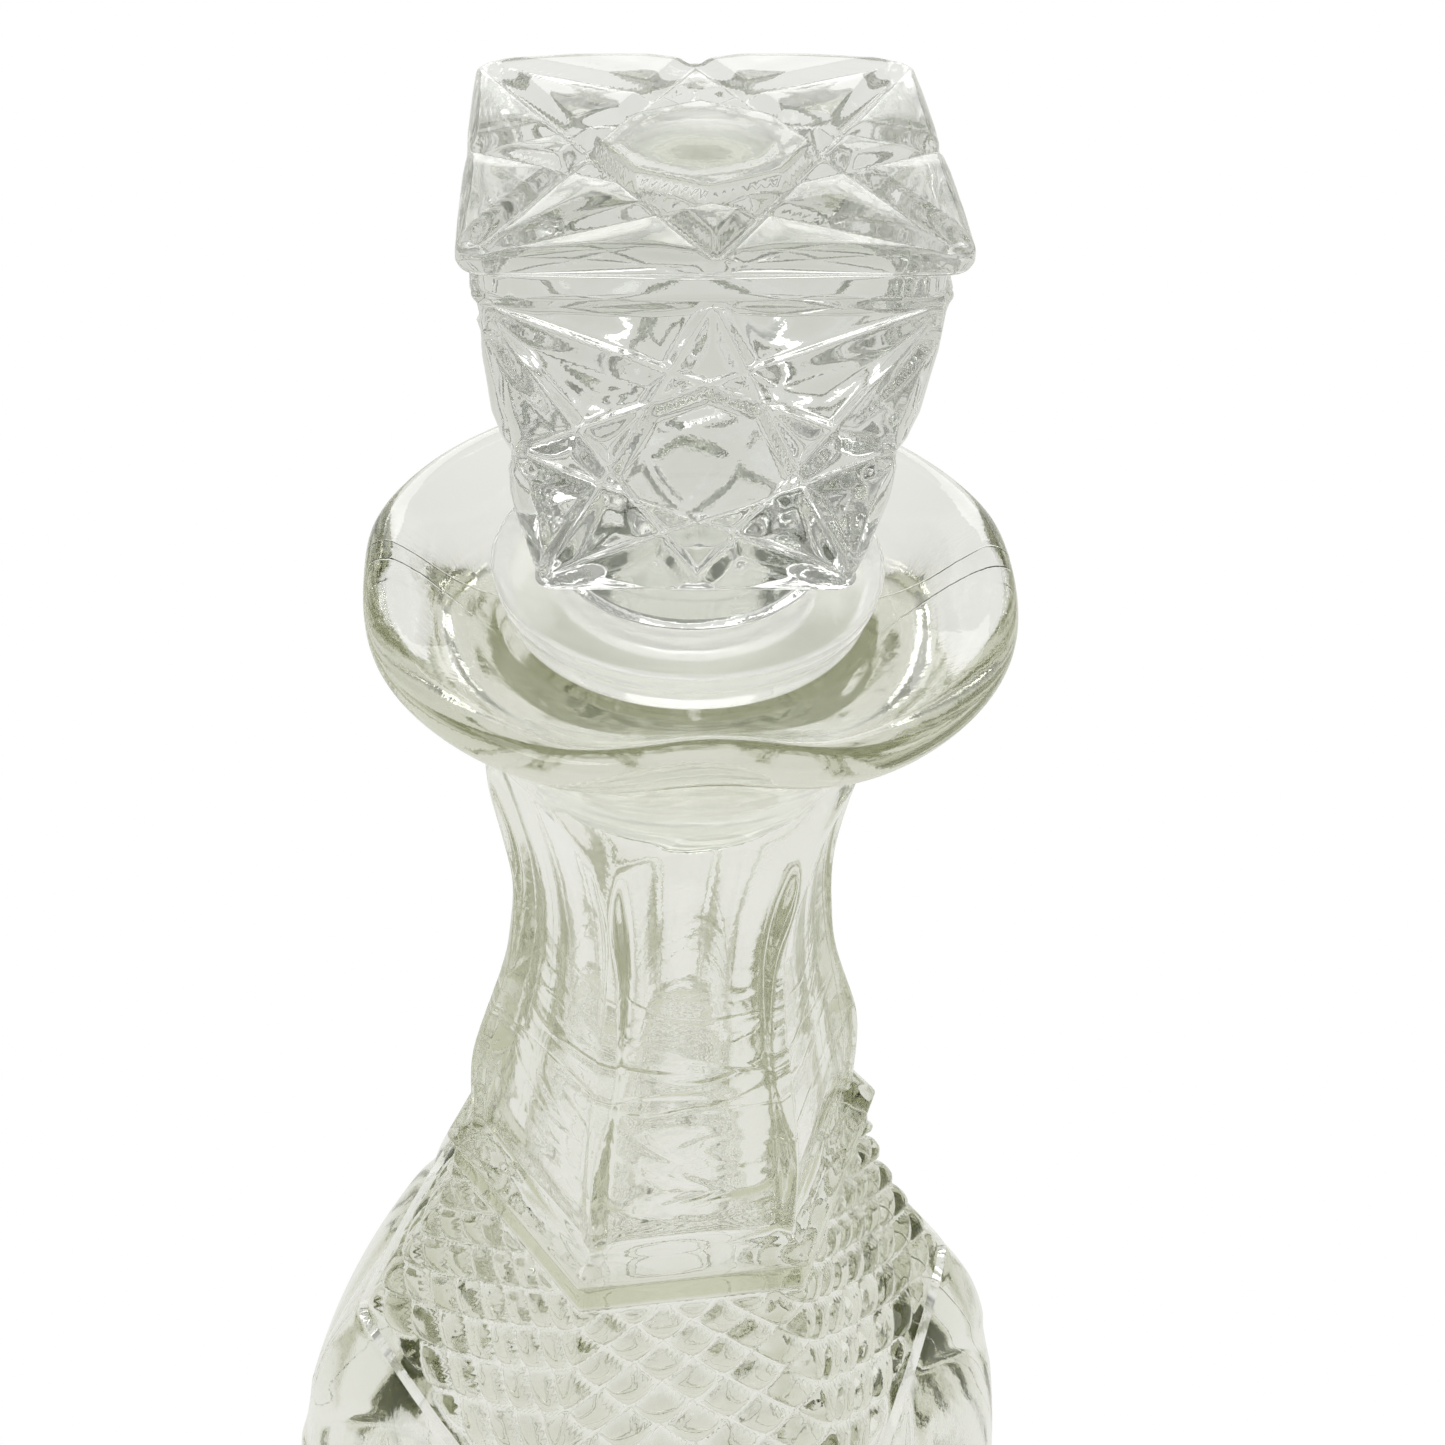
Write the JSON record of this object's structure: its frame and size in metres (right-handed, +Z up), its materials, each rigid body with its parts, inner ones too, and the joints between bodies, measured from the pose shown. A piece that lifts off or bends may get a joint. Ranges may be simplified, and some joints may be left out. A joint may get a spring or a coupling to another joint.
{
  "type": "decanter",
  "caption": "Tall pressed glass decanter with a six-sided neck, diamond-patterned round body, flared lip and a square star-cut stopper in a soft seal.",
  "frame": {"origin": "centre of the foot, on the surface that the decanter stands on", "axes": "+Z up along the axis of the bottle; -Y faces the middle of one flat side of the neck"},
  "size_m": [0.1412, 0.1342, 0.34],
  "materials": {
    "bottle_glass": "clear pressed glass, fire polished",
    "stopper_glass": "clear pressed glass, fire polished",
    "seal_plastic": "clear soft plastic, slightly milky"
  },
  "bodies": {
    "bottle": {"bottle": "bottle_glass"},
    "seal": {"seal_sleeve": "seal_plastic"},
    "stopper": {"stopper": "stopper_glass"}
  },
  "joints": [
    {"name": "stopper_lift", "type": "slide", "parent": "bottle", "child": "seal", "axis": [0, 0, 1], "range_m": [0, 0.06]},
    {"name": "stopper_twist", "type": "hinge", "parent": "seal", "child": "stopper", "pos_m": [0, 0, 0.2869], "axis": [0, 0, 1], "continuous": true}
  ]
}
